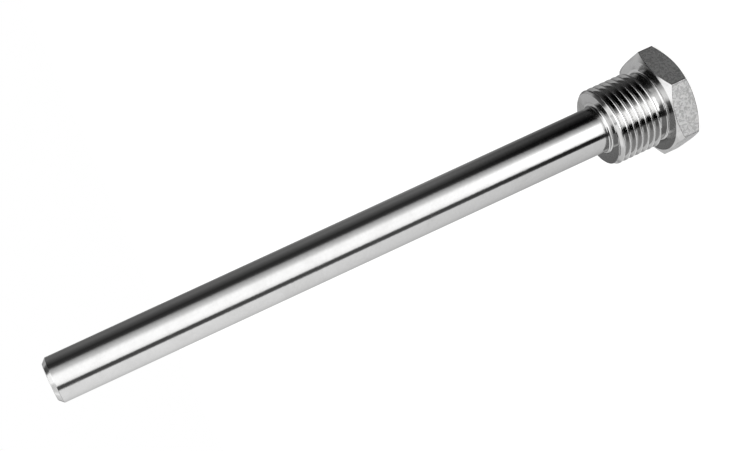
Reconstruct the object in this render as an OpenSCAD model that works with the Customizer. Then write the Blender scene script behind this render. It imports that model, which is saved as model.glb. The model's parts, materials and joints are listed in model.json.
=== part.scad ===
// Thermowell for an industrial temperature probe: one piece, turned and drilled from hexagon bar.
// A hexagon head, a parallel pipe-thread spigot with its undercut, and a long slim stem with a closed tip.
// The axis is Z. The part stands on the open face of its head, the tip points up, and the origin is the
// centre of the bore's mouth.

/* [Hexagon head] */
// Width across the flats
hex_af = 25.4; // [24.6:0.1:32]
// Height of the head
hex_h = 6.7; // [4:0.1:14]
// Angle of the turned chamfers on both faces of the head, from the face
hex_chamfer_angle = 30; // [15:1:40]
// Width of the turned circle on each face, less than the width across the flats by this much
hex_face_gap = 0.4; // [0.2:0.1:1.5]

/* [Threaded spigot] */
// Outer diameter of the thread: G 1/2 is 20.955
thread_d = 20.955; // [19.6:0.005:22.4]
// Pitch of the thread: 14 turns to the inch is 1.814
thread_pitch = 1.814; // [1.2:0.001:2.1]
// Length of the spigot, from the sealing face of the head to its front face
spigot_len = 15.3; // [12:0.1:30]
// Width of the undercut between the thread and the head, its far wall included
undercut_w = 2.9; // [2.7:0.1:4]
// Diameter of the undercut's floor
undercut_d = 18.5; // [16:0.1:18.6]
// Angle of the undercut's far wall, from a plane across the axis
undercut_wall_angle = 20; // [5:1:45]
// Radius of the fillet between the undercut and the sealing face
undercut_fillet = 0.6; // [0.2:0.1:0.8]
// Diameter of the flat on the spigot's front face
nose_flat_d = 19.8; // [16:0.1:20]
// Length of the chamfer round the front face, in front of the full thread
nose_len = 0.6; // [0.3:0.1:2]

/* [Stem] */
// Diameter of the stem at its root, where it is drilled and loaded the most
stem_root_d = 12.4; // [11.2:0.1:13]
// Diameter of the stem at its tip
stem_tip_d = 11.6; // [11:0.1:12.4]
// Length of the stem, from the spigot's front face to the tip
stem_len = 150.7; // [40:0.1:400]
// Radius of the fillet where the stem leaves the spigot
stem_fillet = 0.85; // [0.3:0.05:0.9]
// Width of the chamfer round the tip
tip_chamfer = 1.1; // [0.3:0.1:2.5]

/* [Bore for the probe] */
// Diameter of the blind bore
bore_d = 9; // [6:0.1:9.6]
// Solid metal between the bore's flat bottom and the end of the tip
tip_wall = 6; // [5:0.5:12]
// Width of the countersink at the mouth
mouth_chamfer = 1; // [0.3:0.1:2]

/* [Hidden] */
eps = 0.5;
total_h = hex_h + spigot_len + stem_len;
hex_corner_r = hex_af / sqrt(3);
// A 55 degree pipe thread, its sharp triangle cut off by a sixth at the crest and at the root
half_angle = 27.5;
thread_depth = (2 / 3) * thread_pitch / (2 * tan(half_angle));
crest_r = thread_d / 2;
root_r = crest_r - thread_depth;
// The groove's cutter stands a little proud of the crests, so that its outer wall never cuts
cutter_proud = 0.08 * thread_pitch;
cutter_r = crest_r + cutter_proud;
root_half_w = thread_pitch / 12;
cutter_half_w = root_half_w + (cutter_r - root_r) * tan(half_angle);
// The groove starts over the undercut's floor, and runs out through the front face
groove_start = undercut_w - 0.85 * thread_pitch;
groove_end = spigot_len + thread_pitch / 2;
groove_start_angle = 47;
steps_per_turn = 48;
groove_steps = round((groove_end - groove_start) / thread_pitch * steps_per_turn);

// The corner left between a wall and a floor by a round-nosed tool, as a quarter that fills the corner at the origin
module fillet_corner(radius) {
    difference() {
        translate([-eps, -eps]) square(radius + eps);
        translate([radius, radius]) circle(r = radius, $fn = 96);
    }
}

// Hexagon bar, chamfered on both faces by turning
module head() {
    face_r = hex_af / 2 - hex_face_gap / 2;
    outer_r = hex_corner_r + eps;
    rise = (outer_r - face_r) * tan(hex_chamfer_angle);
    intersection() {
        cylinder(r = hex_corner_r, h = hex_h, $fn = 6);
        rotate_extrude($fn = 180)
            polygon([[0, 0], [face_r, 0], [outer_r, rise], [outer_r, hex_h - rise], [face_r, hex_h], [0, hex_h]]);
    }
}

// Half section of the spigot, from inside the head up to its front face
module spigot_section() {
    wall = (crest_r - undercut_d / 2) * tan(undercut_wall_angle);
    polygon([
        [0, -eps], [undercut_d / 2, -eps], [undercut_d / 2, undercut_w - wall], [crest_r, undercut_w],
        [crest_r, spigot_len - nose_len], [nose_flat_d / 2, spigot_len], [0, spigot_len]
    ]);
    translate([undercut_d / 2, 0]) fillet_corner(undercut_fillet);
}

// Half section of the stem, from inside the spigot up to the chamfered tip
module stem_section() {
    polygon([
        [0, -eps], [stem_root_d / 2, -eps], [stem_root_d / 2, 0], [stem_tip_d / 2, stem_len - tip_chamfer],
        [stem_tip_d / 2 - tip_chamfer, stem_len], [0, stem_len]
    ]);
    translate([stem_root_d / 2, 0]) fillet_corner(stem_fillet);
}

// The four corners of the groove's cutter at one angle: the root edges, then the outer edges
function cutter_corner(k, angle, height) =
    let (
        r = k < 2 ? root_r : cutter_r,
        half_w = k < 2 ? root_half_w : cutter_half_w,
        side = (k == 0 || k == 3) ? -1 : 1
    )
    [r * cos(angle), r * sin(angle), height + side * half_w];

// The right-hand helical groove, as the solid that the threading tool sweeps
module thread_groove() {
    points = [
        for (i = [0 : groove_steps], k = [0 : 3])
            cutter_corner(
                k,
                groove_start_angle + 360 * i / steps_per_turn,
                groove_start + thread_pitch * i / steps_per_turn
            )
    ];
    last = 4 * groove_steps;
    sides = [
        for (i = [0 : groove_steps - 1], k = [0 : 3], half = [0, 1])
            let (a = 4 * i + k, b = 4 * i + (k + 1) % 4)
            half == 0 ? [a, b + 4, b] : [a, a + 4, b + 4]
    ];
    ends = [[0, 1, 2], [0, 2, 3], [last, last + 2, last + 1], [last, last + 3, last + 2]];
    polyhedron(points = points, faces = concat(sides, ends), convexity = 10);
}

// Blind hole from the head's face, with a countersunk mouth and a flat bottom for the probe's tip
module bore() {
    translate([0, 0, -eps]) cylinder(d = bore_d, h = total_h - tip_wall + eps, $fn = 96);
    translate([0, 0, -eps])
        cylinder(r1 = bore_d / 2 + mouth_chamfer + eps, r2 = bore_d / 2, h = mouth_chamfer + eps, $fn = 96);
}

module thermowell() {
    color("silver")
    difference() {
        union() {
            head();
            translate([0, 0, hex_h]) rotate_extrude($fn = 180) spigot_section();
            translate([0, 0, hex_h + spigot_len]) rotate_extrude($fn = 180) stem_section();
        }
        translate([0, 0, hex_h]) thread_groove();
        bore();
    }
}

thermowell();
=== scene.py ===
"""A one-piece thermowell on a pale floor: hexagon head, pipe-threaded spigot, long stem with a closed tip."""

import json
import math

import bpy
import numpy as np
from mathutils import Matrix, Vector


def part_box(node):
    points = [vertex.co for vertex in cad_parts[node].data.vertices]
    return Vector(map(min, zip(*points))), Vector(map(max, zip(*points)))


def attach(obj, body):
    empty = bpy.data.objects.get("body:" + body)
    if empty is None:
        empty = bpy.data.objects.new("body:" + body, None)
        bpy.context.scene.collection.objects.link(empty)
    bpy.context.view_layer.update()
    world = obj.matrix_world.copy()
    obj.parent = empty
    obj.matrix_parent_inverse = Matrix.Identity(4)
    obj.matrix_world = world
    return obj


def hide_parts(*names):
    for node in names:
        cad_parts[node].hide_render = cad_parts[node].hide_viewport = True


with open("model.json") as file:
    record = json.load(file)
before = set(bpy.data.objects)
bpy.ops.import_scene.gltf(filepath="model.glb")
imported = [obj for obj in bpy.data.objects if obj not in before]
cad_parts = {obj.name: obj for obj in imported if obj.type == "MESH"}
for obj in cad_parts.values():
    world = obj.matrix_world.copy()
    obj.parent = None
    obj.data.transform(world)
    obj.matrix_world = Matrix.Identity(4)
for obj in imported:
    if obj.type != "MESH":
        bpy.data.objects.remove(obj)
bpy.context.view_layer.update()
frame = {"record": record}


# ---------------------------------------------------------------- camera
# A short telephoto lens close to the part, level with the stem's upper part and turned on its side,
# so that the stem runs across the view and the head shows its sealing face.
MM = 0.001
camera_azimuth = math.radians(-68.783)
camera_elevation = math.radians(12.720)
camera_distance = 309.83 * MM
camera_aim = Vector((1.819, 0.706, 87.800)) * MM
camera_roll = math.radians(-114.747)

camera = bpy.data.objects.new("camera", bpy.data.cameras.new("camera"))
camera.data.sensor_width = 36
camera.data.lens = 60.876
camera.data.clip_start = 10 * MM
away = Vector((
    math.cos(camera_elevation) * math.cos(camera_azimuth),
    math.cos(camera_elevation) * math.sin(camera_azimuth),
    math.sin(camera_elevation),
))
upright = away.to_track_quat("Z", "Y").to_matrix().to_4x4()
camera.matrix_world = (
    Matrix.Translation(camera_aim + away * camera_distance) @ upright @ Matrix.Rotation(camera_roll, 4, "Z")
)
bpy.context.scene.collection.objects.link(camera)
bpy.context.scene.camera = camera
bpy.context.scene.view_settings.view_transform = "Standard"


# ---------------------------------------------------------------- studio
# The light of a small studio. Level with the part it comes in bands that run along the stem: a soft white box
# beside the camera, a narrow flag and then a pale table on one side of it, and the dark room on the other.
# Past the tip hang two white sheets, and a lamp hangs over the part on the camera's side.
studio_azimuth = math.radians(-68.41)
studio_strength = 1.58
# The bands level with the part and those beyond its tip, as (degrees from the white box's middle, light level)
level_bands = [
    (-180, 0.55), (-130, 0.62), (-64, 0.68), (-57, 0.66), (-53, 0.16), (-49, 0.055), (-38, 0.05),
    (-34.5, 0.14), (-31.5, 0.60), (-27, 0.82), (-14, 0.94), (12, 0.94), (20, 0.82), (30, 0.54), (42, 0.38),
    (50, 0.25), (56, 0.07), (62, 0.026), (76, 0.020), (95, 0.06), (115, 0.11), (140, 0.12), (180, 0.32),
]
beyond_bands = [
    (-180, 0.18), (-178, 0.075), (-168, 0.08), (-160, 0.56), (-135, 0.62), (-118, 0.52), (-60, 0.62),
    (0, 0.80), (60, 0.80), (100, 0.72), (112, 0.16), (132, 0.14), (142, 0.42), (150, 0.36), (158, 0.34),
    (166, 0.45), (178, 0.45), (180, 0.20),
]
# Places where a band gets lighter or darker, as (share added to its light, edges in turns round the part,
# edges in radians of height), each edge as (start, full)
towards_tip = (0.12, 0.30)
level_places = {
    "everything below": (0.60, [], [(-0.25, -0.55)]),
    "the lowest of all": (0.70, [], [(-0.52, -0.66)]),
    "table towards the head": (-0.25, [(-0.14, -0.17)], [(0.00, -0.45)]),
    "shade under the table": (-0.75, [(-0.10, -0.13)], [(-0.47, -0.60)]),
    "ground behind the table": (-0.74, [(-0.13, -0.15)], [towards_tip]),
    "wide end of the flag": (-0.90, [(-0.02, -0.05), (-0.16, -0.14)], [towards_tip]),
    "wide end of the room": (-0.90, [(0.12, 0.15), (0.40, 0.36)], [towards_tip]),
    "bright end of the box": (0.10, [], [towards_tip]),
}
beyond_places = {"gap beside the sheet": (-0.65, [(0.45, 0.42), (0.28, 0.31)], [(0.66, 0.80)])}
back_sheet_edges = [(-0.34, -0.38), (0.45, 0.47)]
back_sheet_foot = (0.78, 0.92)
back_sheet_level, overhead_level, lamp_level = 0.92, 0.88, 1.4

world = bpy.data.worlds.new("studio")
bpy.context.scene.world = world
world.use_nodes = True
tree = world.node_tree
tree.nodes.clear()


def add(tree, kind, **settings):
    """A new node of that kind in the tree, with its settings, and its inputs by name or number."""
    node = tree.nodes.new(kind)
    inputs = settings.pop("inputs", {})
    for name, value in settings.items():
        setattr(node, name, value)
    for name, value in inputs.items():
        if isinstance(value, bpy.types.NodeSocket):
            tree.links.new(value, node.inputs[name])
        else:
            node.inputs[name].default_value = value
    return node


def maths(tree, operation, a, b=0.0, c=0.0):
    """The result socket of one Math node."""
    return add(tree, "ShaderNodeMath", operation=operation, inputs={0: a, 1: b, 2: c}).outputs[0]


def between(tree, value, start, end, low=0.0, high=1.0):
    """The result socket of a smooth step from low to high as the value goes from start to end."""
    node = add(tree, "ShaderNodeMapRange", interpolation_type="SMOOTHSTEP", inputs={
        "Value": value, "From Min": start, "From Max": end, "To Min": low, "To Max": high})
    return node.outputs[0]


def mixed(tree, share, first, second):
    """The first value where the share is 0, the second where it is 1, and a straight blend in between."""
    return add(tree, "ShaderNodeMix", data_type="FLOAT", inputs={0: share, 2: first, 3: second}).outputs[0]


def bands(tree, turn, levels):
    """The light level at a turn round the part: straight lines through the (degrees, level) pairs."""
    ramp = add(tree, "ShaderNodeValToRGB", inputs={0: maths(tree, "ADD", turn, 0.5)})
    while len(ramp.color_ramp.elements) < len(levels):
        ramp.color_ramp.elements.new(0.5)
    for element, (degrees, level) in zip(ramp.color_ramp.elements, levels):
        element.position = degrees / 360 + 0.5
        element.color = (level, level, level, 1)
    return ramp.outputs[0]


def with_places(tree, level, turn, height, places):
    """The level times 1 + added x mask for each place; its mask is the product of its edges' smooth steps."""
    for added, turns, heights in places.values():
        steps = [between(tree, turn, *edge) for edge in turns]
        steps += [between(tree, height, *edge) for edge in heights]
        mask = steps[0]
        for step in steps[1:]:
            mask = maths(tree, "MULTIPLY", mask, step)
        level = maths(tree, "MULTIPLY", level, maths(tree, "MULTIPLY_ADD", mask, added, 1.0))
    return level


# Every place in the studio has a turn, from -0.5 to 0.5 with 0 at the white box, and a height in radians.
direction = add(tree, "ShaderNodeVectorRotate", rotation_type="Z_AXIS", inputs={
    "Vector": add(tree, "ShaderNodeTexCoord").outputs["Generated"], "Angle": -studio_azimuth})
toward = add(tree, "ShaderNodeSeparateXYZ", inputs={0: direction.outputs[0]})
turn = maths(tree, "DIVIDE", maths(tree, "ARCTAN2", toward.outputs["Y"], toward.outputs["X"]), math.tau)
height = maths(tree, "ARCSINE", toward.outputs["Z"])
aside = maths(tree, "ABSOLUTE", turn)
behind = between(tree, aside, 0.30, 0.40)
room_side = between(tree, turn, -0.02, 0.02)

# Level with the part. The room's edge of the white box leans, so that the box closes in towards the head, and
# below the head the dark parts of the room are darker still.
lean = maths(tree, "MAXIMUM", maths(tree, "MULTIPLY_ADD", height, 0.33, 1.0), 0.4)
leaning = maths(tree, "DIVIDE", maths(tree, "MAXIMUM", turn, 0.0), lean)
leaning = maths(tree, "ADD", leaning, maths(tree, "MINIMUM", turn, 0.0))
level = bands(tree, leaning, level_bands)
level = maths(tree, "POWER", level, between(tree, height, -0.25, -0.55, 1.0, 2.3))
level = with_places(tree, level, turn, height, level_places)

# Past the tip: the bands' white sheet, and a second one high behind the part.
beyond = with_places(tree, bands(tree, turn, beyond_bands), turn, height, beyond_places)
back_sheet = maths(tree, "MAXIMUM", *[between(tree, turn, *edge) for edge in back_sheet_edges])
back_sheet = maths(tree, "MULTIPLY", back_sheet, between(tree, height, *back_sheet_foot))
beyond = mixed(tree, back_sheet, beyond, back_sheet_level)

# The three heights together. The sheets hang lower behind the part, and the lamp covers the camera's side.
sheet_height = maths(tree, "MULTIPLY_ADD", behind, between(tree, turn, -0.02, 0.02, 0.66, 0.80), height)
light = mixed(tree, between(tree, sheet_height, 0.80, 1.05), level, beyond)
overhead = maths(tree, "MULTIPLY_ADD", room_side, 0.26, height)
light = mixed(tree, between(tree, overhead, 1.38, 1.52), light, overhead_level)
lamp = maths(tree, "MULTIPLY", between(tree, aside, 0.22, 0.14), between(tree, height, 0.90, 1.10))
light = mixed(tree, lamp, light, lamp_level)

# What the camera sees directly is plain white.
seen = add(tree, "ShaderNodeLightPath").outputs["Is Camera Ray"]
studio_light = add(tree, "ShaderNodeBackground", inputs={"Color": light, "Strength": studio_strength})
white = add(tree, "ShaderNodeBackground", inputs={"Color": (1, 1, 1, 1), "Strength": 1.0})
shown = add(tree, "ShaderNodeMixShader", inputs={0: seen, 1: studio_light.outputs[0], 2: white.outputs[0]})
add(tree, "ShaderNodeOutputWorld", inputs={"Surface": shown.outputs[0]})


# ---------------------------------------------------------------- floor
# A wide pale sheet under the head. It glows nearly to the white of the backdrop and keeps the part's faint
# shadow. The metal doesn't mirror it, because the studio's light has the table and the ground already.
floor_half = 3.0
floor_colour = (0.25, 0.25, 0.25, 1)
floor_glow = 0.9
floor_corners = floor_half * np.array([(-1, -1, 0), (1, -1, 0), (1, 1, 0), (-1, 1, 0)])
floor_mesh = bpy.data.meshes.new("floor")
floor_mesh.from_pydata(floor_corners.tolist(), [], [(0, 1, 2, 3)])
floor = bpy.data.objects.new("floor", floor_mesh)
bpy.context.scene.collection.objects.link(floor)
floor_paint = bpy.data.materials.new("floor paint")
floor_paint.use_nodes = True
tree = floor_paint.node_tree
tree.nodes.clear()
paths = add(tree, "ShaderNodeLightPath")
matt = add(tree, "ShaderNodeBsdfDiffuse", inputs={"Color": floor_colour})
glow_strength = maths(tree, "MULTIPLY", paths.outputs["Is Camera Ray"], floor_glow)
glow = add(tree, "ShaderNodeEmission", inputs={"Color": (1, 1, 1, 1), "Strength": glow_strength})
lit = add(tree, "ShaderNodeAddShader", inputs={0: matt.outputs[0], 1: glow.outputs[0]})
clear = add(tree, "ShaderNodeBsdfTransparent")
pale = add(tree, "ShaderNodeMixShader", inputs={
    0: paths.outputs["Is Glossy Ray"], 1: lit.outputs[0], 2: clear.outputs[0]})
add(tree, "ShaderNodeOutputMaterial", inputs={"Surface": pale.outputs[0]})
floor_mesh.materials.append(floor_paint)


# ---------------------------------------------------------------- thermowell
# One piece of stainless steel. Hexagon bar is turned down to the spigot and the stem, threaded, and drilled
# blind from the head; only the six flats keep the skin of the bar. All its sizes are in millimetres.
mounts = {mount["name"]: mount for mount in frame["record"]["mounts"]}
lowest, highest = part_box("thermowell")
total_h = (highest.z - lowest.z) / MM
# The hexagon head
head_h = mounts["sealing_face"]["pos_m"][2] / MM
flat_r = (highest.y - lowest.y) / 2 / MM
corner_r = flat_r / math.cos(math.pi / 6)
face_inset = 0.2
face_r = flat_r - face_inset
chamfer_slope = math.tan(math.radians(30))
corner_round = 0.15
edge_round = 0.08
# The bore, its countersunk mouth, and the ring of the head's open face beside the mouth
bore_r = mounts["sensor_bore"]["dims"]["r_mm"]
bore_round = 0.3
mouth_chamfer = 1.0
mouth_round = 0.1
mouth_ring = 0.5
tip_wall = 6.0
# The undercut, and the ring of the sealing face beside it
undercut_r = 9.25
undercut_w = 2.9
undercut_wall = math.radians(20)
undercut_fillet = 0.6
undercut_ring = 1.0
# The thread, whose groove passes the angle zero at that height over the sealing face, and the front face
thread_r = mounts["process_thread"]["dims"]["r_mm"]
thread_pitch = 1.814
thread_flank = math.radians(27.5)
root_half_w = thread_pitch / 12
root_r = thread_r - thread_pitch / 3 / math.tan(thread_flank)
groove_at_zero = 1.12
root_ease, crest_ease, end_ease = 0.12, 0.14, 0.06
wall_start = undercut_w - (thread_r - undercut_r) * math.tan(undercut_wall)
spigot_len = 15.3
nose_len = 0.6
nose_start = spigot_len - nose_len
nose_flat_r = 9.9
nose_ring = 0.1
# The stem, with the collar at its root that is cut together with the front face
stem_root_r = mounts["stem"]["dims"]["r_mm"]
stem_tip_r = 5.8
stem_fillet = 0.85
stem_collar = 2.0
tip_chamfer = 1.1
tip_round = 0.15


def column_angles():
    """Angles round the axis: even steps of 1.5 degrees, and finer ones beside the hexagon's six corners."""
    near = np.array([0, 0.12, 0.25, 0.4, 0.6, 0.9])
    side = np.concatenate([near, np.arange(1.5, 59, 1.5), 60 - near[:0:-1]])
    return np.radians((side + 60 * np.arange(6)[:, None]).ravel())


def hexagon_radius(angle):
    """Distance from the axis to the hexagon: the flat's distance over the cosine of the angle from its middle,
    and at a corner the ray's far crossing of the circle that rounds it."""
    off_corner = np.abs((angle + np.pi / 6) % (np.pi / 3) - np.pi / 6)
    centre = (flat_r - corner_round) / math.cos(math.pi / 6)
    touch = math.atan2(corner_round / 2, centre + corner_round * math.cos(math.pi / 6))
    on_flat = flat_r / np.cos(np.pi / 6 - off_corner)
    inside = np.maximum(corner_round**2 - (centre * np.sin(off_corner)) ** 2, 0)
    on_corner = centre * np.cos(off_corner) + np.sqrt(inside)
    return np.where(off_corner < touch, on_corner, on_flat)


def unit(spokes):
    """Each spoke over its own length."""
    return spokes / np.linalg.norm(spokes, axis=1, keepdims=True)


def rounded(corners, steps=4):
    """A path through corners, each (r, z, radius) with arrays over the angles. A corner with a radius becomes
    an arc that touches both its sides: the spokes of the two touching points, blended along the circle."""
    columns = np.zeros(len(angles))
    points = [np.stack([columns + r, columns + z], -1) for r, z, _ in corners]
    rows = [points[0]]
    for before, here, after, (_, _, radius) in zip(points, points[1:], points[2:], corners[1:-1]):
        if not radius:
            rows.append(here)
            continue
        back, on = unit(before - here), unit(after - here)
        half = np.arccos(np.clip((back * on).sum(1, keepdims=True), -1, 1)) / 2
        centre = here + unit(back + on) * radius / np.sin(half)
        first = here + back * radius / np.tan(half) - centre
        last = here + on * radius / np.tan(half) - centre
        sweep = np.pi - 2 * half
        share = np.linspace(0, 1, steps + 1)[:, None, None]
        blend = np.sin((1 - share) * sweep) * first + np.sin(share * sweep) * last
        rows.extend(centre + blend / np.sin(sweep))
    rows.append(points[-1])
    return np.array(rows)


def eased(a, b, over):
    """The lower of two surfaces, less a parabola of that width where they cross, which rounds the corner."""
    return np.minimum(a, b) - np.maximum(over - np.abs(a - b), 0) ** 2 / (4 * over)


def slope(height, z0, r0, z1, r1):
    """Radius at a height on the straight line through two points of the half section."""
    return r0 + (height - z0) * (r1 - r0) / (z1 - z0)


def thread_radius(angle, height):
    """Radius of the spigot at an angle and a height over the sealing face: the lowest of the undercut's wall,
    the crest, the chamfer of the front face, and the groove. The groove's middle climbs one pitch in each
    turn; beside it the root is flat and then the flanks rise."""
    turns = groove_at_zero / thread_pitch + angle / math.tau
    middle = thread_pitch * (turns + np.round(height / thread_pitch - turns))
    flank = root_r + (np.abs(height - middle) - root_half_w) / math.tan(thread_flank)
    groove = -eased(-flank, -root_r, root_ease)
    plain = eased(slope(height, wall_start, undercut_r, undercut_w, thread_r), thread_r, end_ease)
    plain = eased(plain, slope(height, nose_start, thread_r, spigot_len, nose_flat_r), end_ease)
    return eased(plain, groove, crest_ease)


def thread_rows():
    """Rows (r, z) that climb one pitch in each turn, so that the edges of the thread run along them, held
    between the foot of the undercut's wall and the front face. In each column the row nearest to a corner of
    the half section is moved onto it. Returned with the number of rows in one pitch."""
    # From the middle of the groove to the middle of the crest, closest together beside the edge of the crest
    half = np.array([0, 0.1, 0.15, 0.2, 0.3, 0.5, 0.65, 0.72, 0.76, 0.8, 0.85, thread_pitch / 2])
    steps = np.concatenate([half[:-1], thread_pitch - half[:0:-1]])
    first_turn = math.floor((wall_start - groove_at_zero) / thread_pitch) - 1
    last_turn = math.ceil((spigot_len - groove_at_zero) / thread_pitch)
    at_zero = groove_at_zero + thread_pitch * np.arange(first_turn, last_turn + 1)[:, None] + steps
    height = np.clip(at_zero.reshape(-1, 1) + thread_pitch * angles / math.tau, wall_start, spigot_len)
    for corner in (undercut_w, nose_start):
        height[np.abs(height - corner).argmin(0), np.arange(len(angles))] = corner
    radius = np.where(height == wall_start, undercut_r, thread_radius(angles, height))
    return np.stack([radius, head_h + height], -1), len(steps)


angles = column_angles()
hex_r = hexagon_radius(angles)
rise = (hex_r - face_r) * chamfer_slope
spiral_rows, rows_per_turn = thread_rows()
front_r = thread_radius(angles, spigot_len)
mouth_r = bore_r + mouth_chamfer
spigot_top = head_h + spigot_len
collar_top = spigot_top + stem_collar
taper_top = total_h - tip_chamfer
end_r = stem_tip_r - tip_chamfer
on_taper = [
    (slope(z, collar_top, stem_root_r, taper_top, stem_tip_r), z, 0)
    for z in collar_top + (taper_top - collar_top) * np.linspace(0.05, 0.95, 10)
]

# Each zone: the finish it has, its rows, and how many rows further up the last column meets the first.
zones = [
    ("drilled", rounded([
        (0, total_h - tip_wall, 0), (bore_r, total_h - tip_wall, bore_round),
        (bore_r, mouth_chamfer, mouth_round), (mouth_r, 0, mouth_round), (mouth_r + mouth_ring, 0, 0),
    ]), 0),
    ("faced", rounded([
        (mouth_r + mouth_ring, 0, 0), (face_r, 0, edge_round), (hex_r, rise, edge_round),
        (hex_r, rise + edge_round, 0),
    ]), 0),
    ("drawn", rounded([
        (hex_r, rise + edge_round, 0), (hex_r, head_h / 2, 0), (hex_r, head_h - rise - edge_round, 0),
    ]), 0),
    ("faced", rounded([
        (hex_r, head_h - rise - edge_round, 0), (hex_r, head_h - rise, edge_round),
        (face_r, head_h, edge_round), (undercut_r + undercut_ring, head_h, 0),
    ]), 0),
    ("turned", rounded([
        (undercut_r + undercut_ring, head_h, 0), (undercut_r, head_h, undercut_fillet),
        (undercut_r, head_h + wall_start, 0),
    ], steps=8), 0),
    ("threaded", spiral_rows, rows_per_turn),
    ("faced", rounded([
        (front_r, spigot_top, 0), (front_r - nose_ring, spigot_top, 0),
        (stem_root_r, spigot_top, stem_fillet), (stem_root_r, collar_top, 0),
    ], steps=8), 0),
    ("turned", rounded([
        (stem_root_r, collar_top, 0), *on_taper, (stem_tip_r, taper_top, tip_round),
        (end_r + tip_round, total_h - tip_round, 0),
    ]), 0),
    ("parted", rounded([
        (end_r + tip_round, total_h - tip_round, 0), (end_r, total_h, tip_round), (0, total_h, 0),
    ]), 0),
]


def closed_skin(name, zones):
    """One closed skin over the zones: each point is (r cos a, r sin a, z), neighbouring rows and columns are
    joined by quads, and points at one place are merged, so that rings that meet and rows that end become
    whole. Normals are the faces' normals weighted by their areas. Returned with each face's zone number."""
    points, quads, zone = [], [], []
    for number, (_, rows, climb) in enumerate(zones):
        r, z = rows[..., 0], rows[..., 1]
        grid = sum(map(len, points)) + np.arange(r.size).reshape(r.shape)
        joined = grid[np.minimum(np.arange(len(rows)) + climb, len(rows) - 1), :1]
        after = np.concatenate([grid[:, 1:], joined], 1)
        points.append(np.stack([r * np.cos(angles), r * np.sin(angles), z], -1).reshape(-1, 3))
        quads.append(np.stack([grid[:-1], after[:-1], after[1:], grid[1:]], -1).reshape(-1, 4))
        zone.append(np.full(len(quads[-1]), number))
    points, quads, zone = map(np.concatenate, (points, quads, zone))
    places = np.round(points * 1e5).astype(np.int64)
    _, first, merged = np.unique(places, axis=0, return_index=True, return_inverse=True)
    points, quads = points[first] * MM, merged.ravel()[quads]
    # A quad with two corners at one place is a triangle, and one with more of them is nothing.
    same = quads == np.roll(quads, -1, 1)
    whole, torn = ~same.any(1), [(same.sum(1) == 1) & same[:, side] for side in range(4)]
    triangles = [np.delete(quads[chosen], side, 1) for side, chosen in enumerate(torn)]
    zone = np.concatenate([zone[whole]] + [zone[chosen] for chosen in torn])
    mesh = bpy.data.meshes.new(name)
    mesh.from_pydata(points, [], quads[whole].tolist() + np.concatenate(triangles).tolist())
    weights = np.zeros_like(points)
    for face in (quads[whole][:, [0, 1, 2]], quads[whole][:, [0, 2, 3]], *triangles):
        start = points[face[:, 0]]
        cross = np.cross(points[face[:, 1]] - start, points[face[:, 2]] - start)
        for corner in range(3):
            np.add.at(weights, face[:, corner], cross)
    mesh.shade_smooth()
    mesh.normals_split_custom_set_from_vertices(unit(weights))
    return mesh, zone


def effect(name, takes, gives):
    """A node group for an effect that several finishes share, with its named inputs, as (kind, name, value),
    and outputs; returns the group, its input node and its output node."""
    group = bpy.data.node_groups.new(name, "ShaderNodeTree")
    for kind, label, value in takes:
        socket = group.interface.new_socket(label, in_out="INPUT", socket_type="NodeSocket" + kind)
        socket.default_value = value
    for label in gives:
        group.interface.new_socket(label, in_out="OUTPUT", socket_type="NodeSocketFloat")
    return group, group.nodes.new("NodeGroupInput"), group.nodes.new("NodeGroupOutput")


def noise(tree, vector, scale, detail=2.0, distortion=0.0):
    """The value of a noise texture over the vector."""
    return add(tree, "ShaderNodeTexNoise", inputs={
        "Vector": vector, "Scale": scale, "Detail": detail, "Distortion": distortion}).outputs[0]


def off_axis(tree, position):
    """The distance of a position from the part's axis: the square root of x squared plus y squared."""
    place = add(tree, "ShaderNodeSeparateXYZ", inputs={0: position}).outputs
    y_squared = maths(tree, "MULTIPLY", place["Y"], place["Y"])
    return maths(tree, "SQRT", maths(tree, "MULTIPLY_ADD", place["X"], place["X"], y_squared))


# The marks of a turning tool. They run round the axis, and follow one another along the cut: outwards on a
# face, down a cylinder, and a little of both on a cone. Each changes slowly on its way round, and they come in
# wider streaks. The spacing is in millimetres.
changes_round = 60.0
streak_scale = 0.11
cut_marks, given, result = effect(
    "cut marks", [("Vector", "Position", (0, 0, 0)), ("Float", "Spacing", 0.2)], ["Height", "Streaks"])
place = add(cut_marks, "ShaderNodeSeparateXYZ", inputs={0: given.outputs["Position"]})
along = maths(cut_marks, "SUBTRACT", off_axis(cut_marks, given.outputs["Position"]), place.outputs["Z"])
along = maths(cut_marks, "MULTIPLY", maths(cut_marks, "DIVIDE", along, given.outputs["Spacing"]), 1 / MM)
around = add(cut_marks, "ShaderNodeVectorMath", operation="SCALE", inputs={
    0: given.outputs["Position"], "Scale": changes_round})
around = add(cut_marks, "ShaderNodeSeparateXYZ", inputs={0: around.outputs[0]})
rings = add(cut_marks, "ShaderNodeCombineXYZ", inputs={
    "X": along, "Y": around.outputs["X"], "Z": around.outputs["Y"]}).outputs[0]
cut_marks.links.new(noise(cut_marks, rings, 1.0, 2.0), result.inputs["Height"])
cut_marks.links.new(noise(cut_marks, rings, streak_scale, 3.0), result.inputs["Streaks"])

# What storing and handling leave on the metal: soft smudges, whose size is in millimetres.
handling, given, result = effect(
    "handling", [("Vector", "Position", (0, 0, 0)), ("Float", "Smudge Size", 6.0)], ["Smudges"])
smudge_scale = maths(handling, "DIVIDE", 1 / MM, given.outputs["Smudge Size"])
smudges = noise(handling, given.outputs["Position"], smudge_scale, 3.0, 0.6)
handling.links.new(between(handling, smudges, 0.42, 0.68), result.inputs["Smudges"])

# How much of the light the steel keeps when it is seen almost along its surface
steel_rim = (0.70, 0.70, 0.70, 1)


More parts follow.
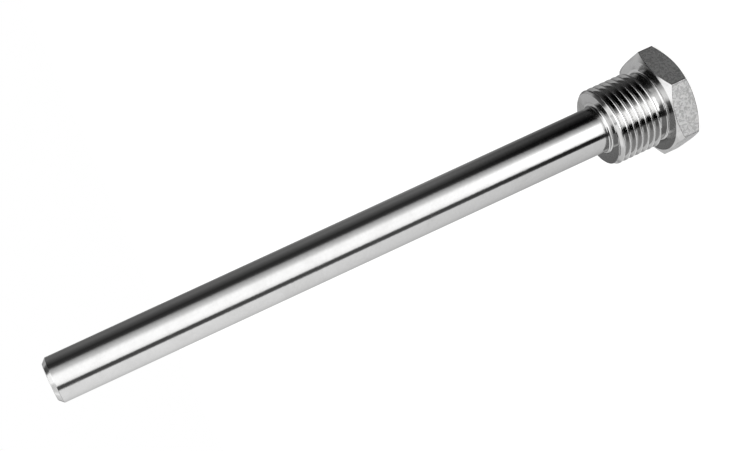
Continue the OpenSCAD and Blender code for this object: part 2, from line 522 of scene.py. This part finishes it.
def finished_steel(name, spacing, smudge_size):
    """A new stainless steel: its material, tree, shader and position, the height and the streaks of its cut
    marks, and its smudges."""
    material = bpy.data.materials.new(name)
    material.use_nodes = True
    tree = material.node_tree
    shader = tree.nodes["Principled BSDF"]
    shader.inputs["Metallic"].default_value = 1
    shader.inputs["Specular Tint"].default_value = steel_rim
    position = add(tree, "ShaderNodeTexCoord").outputs["Object"]
    marks = add(tree, "ShaderNodeGroup", node_tree=cut_marks, inputs={
        "Position": position, "Spacing": spacing})
    hands = add(tree, "ShaderNodeGroup", node_tree=handling, inputs={
        "Position": position, "Smudge Size": smudge_size})
    return (material, tree, shader, position, marks.outputs["Height"], marks.outputs["Streaks"],
            hands.outputs["Smudges"])


def coloured(tree, shader, share, first, second):
    """Sets the base colour to go from the first to the second with the share."""
    colour = add(tree, "ShaderNodeMix", data_type="RGBA", inputs={0: share, 6: (*first, 1), 7: (*second, 1)})
    tree.links.new(colour.outputs[2], shader.inputs["Base Color"])


def roughened(tree, shader, least, *shares):
    """Sets the roughness to the least one plus mask times amount for each (mask, amount)."""
    roughness = least
    for mask, amount in shares:
        roughness = maths(tree, "MULTIPLY_ADD", mask, amount, roughness)
    tree.links.new(roughness, shader.inputs["Roughness"])


def bumped(tree, shader, height, depth):
    """Sets the normal from a height, of which 1 stands for that depth in millimetres."""
    bump = add(tree, "ShaderNodeBump", inputs={"Height": height, "Strength": 1.0, "Distance": depth * MM})
    tree.links.new(bump.outputs[0], shader.inputs["Normal"])


# The stem, the undercut and the tip's chamfer: a fine finishing cut, near to a mirror across its hardly
# visible marks, with a fine grain.
grain_scale = 1.2 / MM
turned, tree, shader, position, cut, streaks, smudges = finished_steel("turned steel", 0.28, 7.0)
grain = noise(tree, position, grain_scale, 2.0)
stained = maths(tree, "MULTIPLY_ADD", smudges, 0.6, between(tree, grain, 0.35, 0.65, 0.0, 0.4))
coloured(tree, shader, stained, (0.665, 0.664, 0.662), (0.620, 0.618, 0.615))
roughened(tree, shader, 0.04, (streaks, 0.06), (smudges, 0.06))
bumped(tree, shader, maths(tree, "MULTIPLY_ADD", grain, 14.0, cut), 0.0006)

# The faces and chamfers of the head, the spigot's front face and the stem's root: a coarser facing cut.
faced, tree, shader, position, cut, streaks, smudges = finished_steel("faced steel", 0.34, 5.0)
coloured(tree, shader, smudges, (0.660, 0.659, 0.657), (0.520, 0.518, 0.515))
roughened(tree, shader, 0.09, (streaks, 0.10), (smudges, 0.05))
bumped(tree, shader, cut, 0.0012)

# The thread: painted shade darkens the flanks and roots, and a painted highlight lightens the crests, which
# are also rougher.
crest_start, crest_full = thread_r - 0.13, thread_r - 0.03
threaded, tree, shader, position, cut, streaks, smudges = finished_steel("threaded steel", 0.2, 4.0)
crest = between(tree, off_axis(tree, position), crest_start * MM, crest_full * MM)
# Painted light: this share runs from the painted shade of the flanks and roots to the painted highlight of the
# crests. Handling smudges dim the crests a little.
painted_crest_light_and_smudges = maths(tree, "SUBTRACT", crest, maths(tree, "MULTIPLY", smudges, 0.2))
coloured(tree, shader, painted_crest_light_and_smudges, (0.500, 0.499, 0.496), (0.860, 0.858, 0.855))
roughened(tree, shader, 0.06, (streaks, 0.06), (crest, 0.12))
bumped(tree, shader, cut, 0.0006)

# The flats: the skin of the drawn bar, dull, scratched lengthwise and mottled, and rubbed smoother at the
# hexagon's corners.
rub_start, rub_full = corner_r - 0.25, corner_r - 0.08
across_scale, along_scale, mottle_scale = 3.2 / MM, 0.42 / MM, 0.8 / MM
drawn, tree, shader, position, _, _, smudges = finished_steel("drawn bar steel", 0.3, 4.0)
stretched = add(tree, "ShaderNodeMapping", inputs={
    "Vector": position, "Scale": (across_scale, across_scale, along_scale)})
scratches = noise(tree, stretched.outputs[0], 1.0, 3.0)
mottle = noise(tree, position, mottle_scale, 2.0, 2.0)
stained = maths(tree, "MULTIPLY_ADD", smudges, 0.25, between(tree, mottle, 0.41, 0.59, 0.0, 0.7))
coloured(tree, shader, stained, (0.940, 0.939, 0.936), (0.540, 0.538, 0.535))
corner = between(tree, off_axis(tree, position), rub_start * MM, rub_full * MM)
roughened(tree, shader, 0.42, (mottle, 0.16), (smudges, 0.04), (corner, -0.22))
bumped(tree, shader, maths(tree, "MULTIPLY_ADD", mottle, 0.7, maths(tree, "MULTIPLY", scratches, 0.3)), 0.08)

# The bore and its countersunk mouth: drilled, with coarse rings.
drilled, tree, shader, position, cut, streaks, smudges = finished_steel("drilled steel", 0.5, 3.0)
coloured(tree, shader, smudges, (0.580, 0.578, 0.575), (0.490, 0.488, 0.484))
roughened(tree, shader, 0.2, (streaks, 0.15))
bumped(tree, shader, cut, 0.003)

# The end of the tip: cut off with a parting tool, in coarse, dull rings.
parted, tree, shader, position, cut, streaks, smudges = finished_steel("parted steel", 0.45, 3.0)
coloured(tree, shader, streaks, (0.640, 0.639, 0.637), (0.480, 0.478, 0.475))
roughened(tree, shader, 0.36, (smudges, 0.08))
bumped(tree, shader, cut, 0.006)

finishes = {
    "drilled": drilled, "faced": faced, "drawn": drawn, "turned": turned, "threaded": threaded,
    "parted": parted,
}
skin, zone = closed_skin("thermowell_body", zones)
for material in finishes.values():
    skin.materials.append(material)
finish_numbers = np.array([list(finishes).index(name) for name, _, _ in zones], dtype=np.int32)
skin.polygons.foreach_set("material_index", finish_numbers[zone])
body = bpy.data.objects.new("thermowell_body", skin)
bpy.context.scene.collection.objects.link(body)
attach(body, "root")
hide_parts("thermowell")
